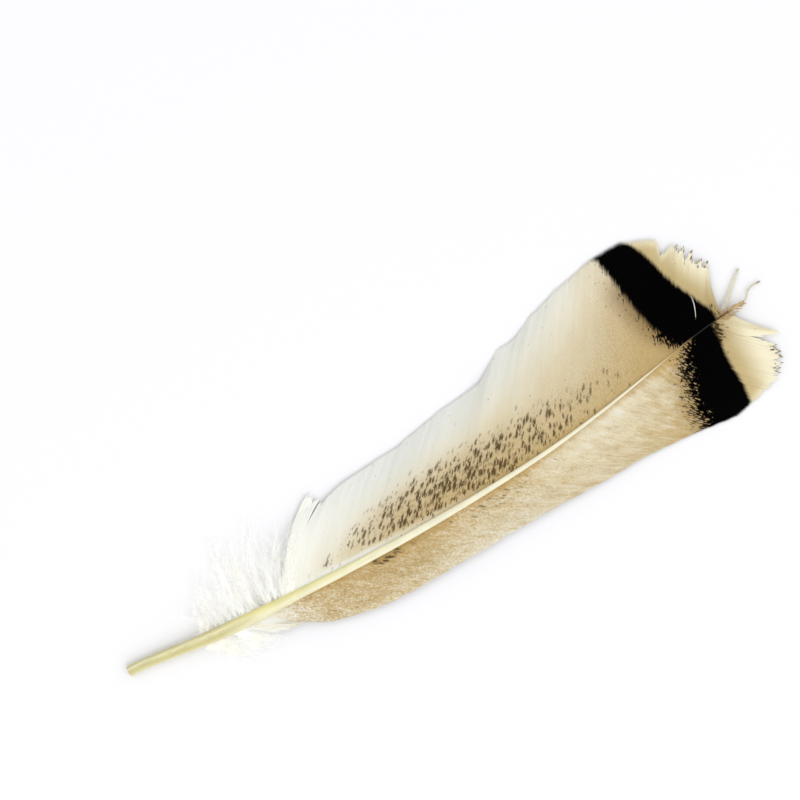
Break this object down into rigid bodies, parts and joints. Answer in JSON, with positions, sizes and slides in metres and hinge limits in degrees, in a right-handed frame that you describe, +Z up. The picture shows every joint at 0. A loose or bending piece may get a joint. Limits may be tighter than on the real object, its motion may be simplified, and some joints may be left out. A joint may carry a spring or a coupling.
{
  "type": "turkey wing feather",
  "caption": "Shed turkey flight feather lying flat, with a tapering shaft, a wide and a narrow vane of barb locks, a dark band near the tip and white down at the quill.",
  "frame": {"origin": "middle of the feather's box on the surface it lies on", "axes": "+X from the quill's cut end to the tip, +Y towards the wide vane, +Z up out of the smooth upper face"},
  "size_m": [0.3062, 0.088, 0.0112],
  "materials": {
    "quill_keratin": "satin",
    "wide_vane_barbs": "matte",
    "narrow_vane_barbs": "matte",
    "down": "matte"
  },
  "bodies": {
    "root": {"shaft": "quill_keratin", "wide_vane": "wide_vane_barbs", "narrow_vane": "narrow_vane_barbs", "wide_side_down": "down", "narrow_side_down": "down"}
  },
  "joints": []
}
